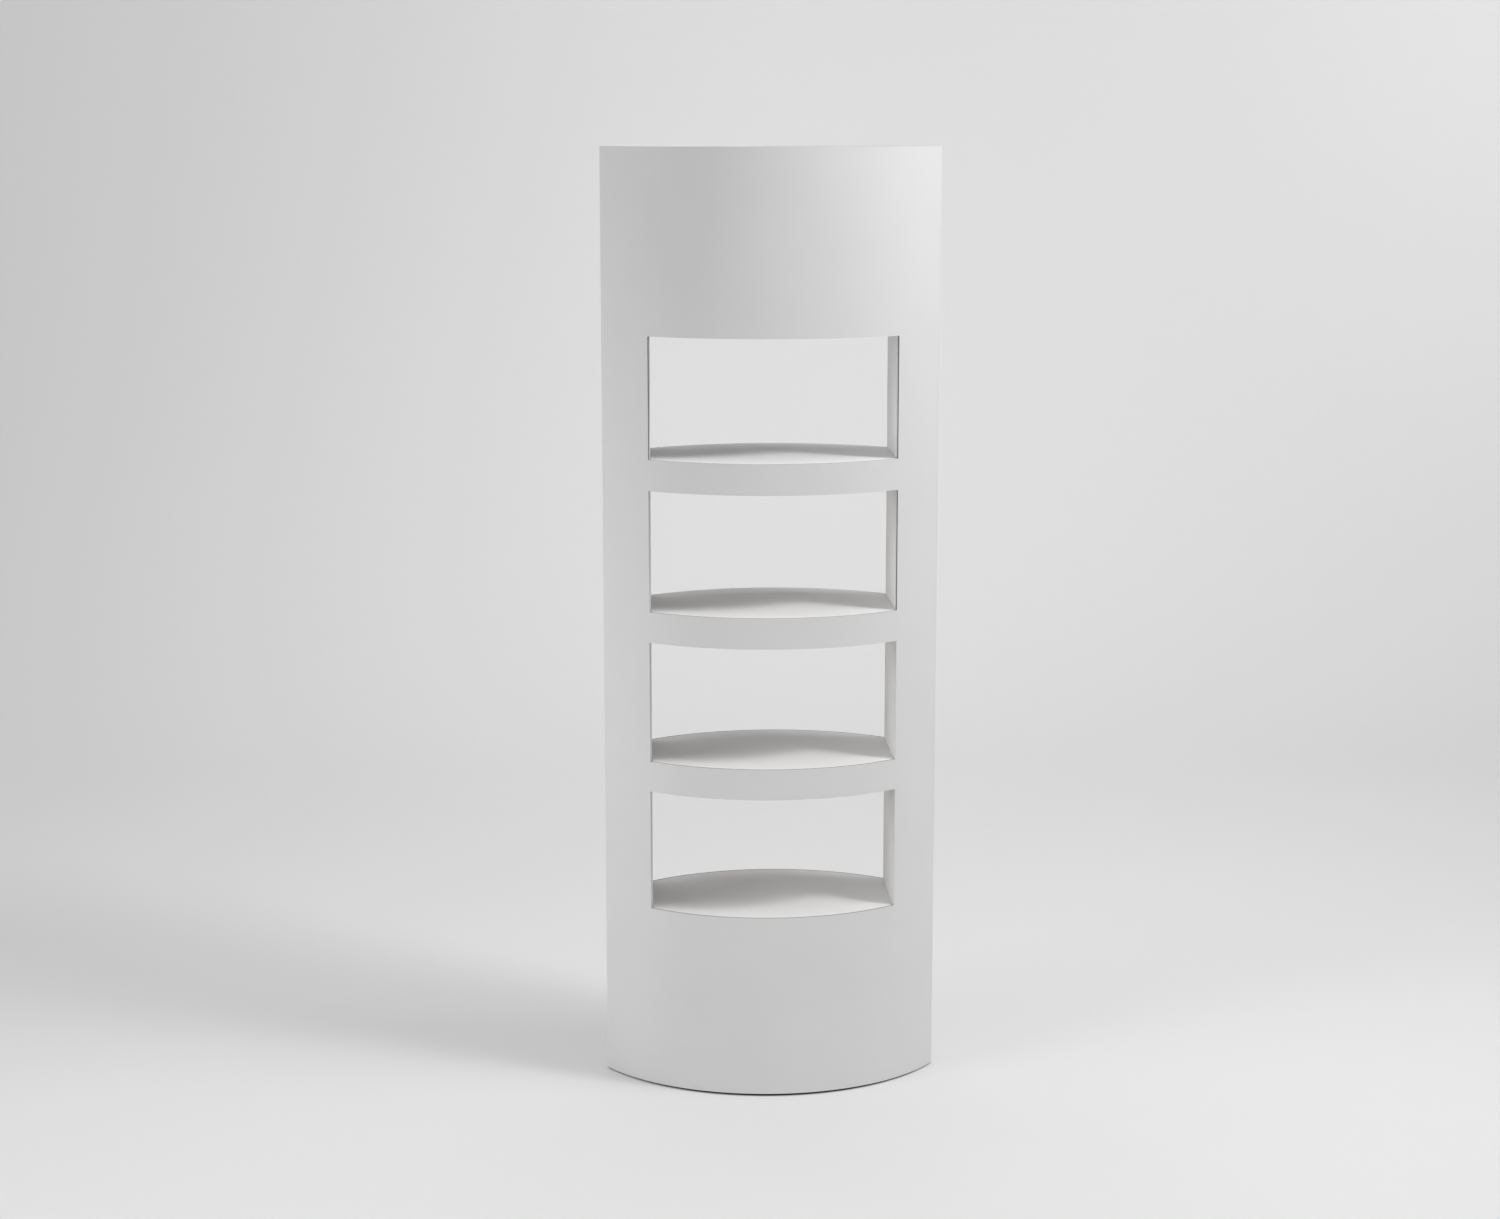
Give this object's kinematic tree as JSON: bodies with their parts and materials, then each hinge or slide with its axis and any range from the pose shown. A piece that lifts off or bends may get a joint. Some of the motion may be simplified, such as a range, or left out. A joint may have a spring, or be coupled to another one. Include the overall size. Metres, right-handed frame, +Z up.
{
  "type": "cardboard display shelf",
  "caption": "Free-standing cardboard display shelf with a lens-shaped plan, curved skins with through windows front and rear, and loose lens-shaped decks on hooked beams.",
  "frame": {"origin": "on the floor under the middle of the stand", "axes": "+X to the right corner, +Y to the rear skin, +Z up; the front skin faces -Y"},
  "size_m": [0.6, 0.33, 1.68],
  "materials": {
    "white_board": "matte",
    "kraft_board": "matte"
  },
  "bodies": {
    "stand": {"front_skin": "white_board", "rear_skin": "white_board", "left_rib": "white_board", "right_rib": "white_board", "shelf_1_front_beam": "kraft_board", "shelf_1_rear_beam": "kraft_board", "shelf_2_front_beam": "kraft_board", "shelf_2_rear_beam": "kraft_board", "shelf_3_front_beam": "kraft_board", "shelf_3_rear_beam": "kraft_board", "shelf_4_front_beam": "kraft_board", "shelf_4_rear_beam": "kraft_board", "base_board": "kraft_board", "plinth_long_web": "kraft_board", "plinth_left_cross_web": "kraft_board", "plinth_right_cross_web": "kraft_board", "ceiling_panel": "white_board", "header_long_web": "kraft_board", "header_cross_web": "kraft_board"},
    "shelf_1": {"shelf_1_deck": "white_board"},
    "shelf_2": {"shelf_2_deck": "white_board"},
    "shelf_3": {"shelf_3_deck": "white_board"},
    "shelf_4": {"shelf_4_deck": "white_board"},
    "top_panel": {"top_spreader": "white_board"}
  },
  "joints": [
    {"name": "shelf_1_lift", "type": "slide", "parent": "stand", "child": "shelf_1", "axis": [0, 0, 1], "range_m": [0, 0.2]},
    {"name": "shelf_2_lift", "type": "slide", "parent": "stand", "child": "shelf_2", "axis": [0, 0, 1], "range_m": [0, 0.2]},
    {"name": "shelf_3_lift", "type": "slide", "parent": "stand", "child": "shelf_3", "axis": [0, 0, 1], "range_m": [0, 0.2]},
    {"name": "shelf_4_lift", "type": "slide", "parent": "stand", "child": "shelf_4", "axis": [0, 0, 1], "range_m": [0, 0.2]},
    {"name": "top_panel_lift", "type": "slide", "parent": "stand", "child": "top_panel", "axis": [0, 0, 1], "range_m": [0, 0.12]}
  ]
}
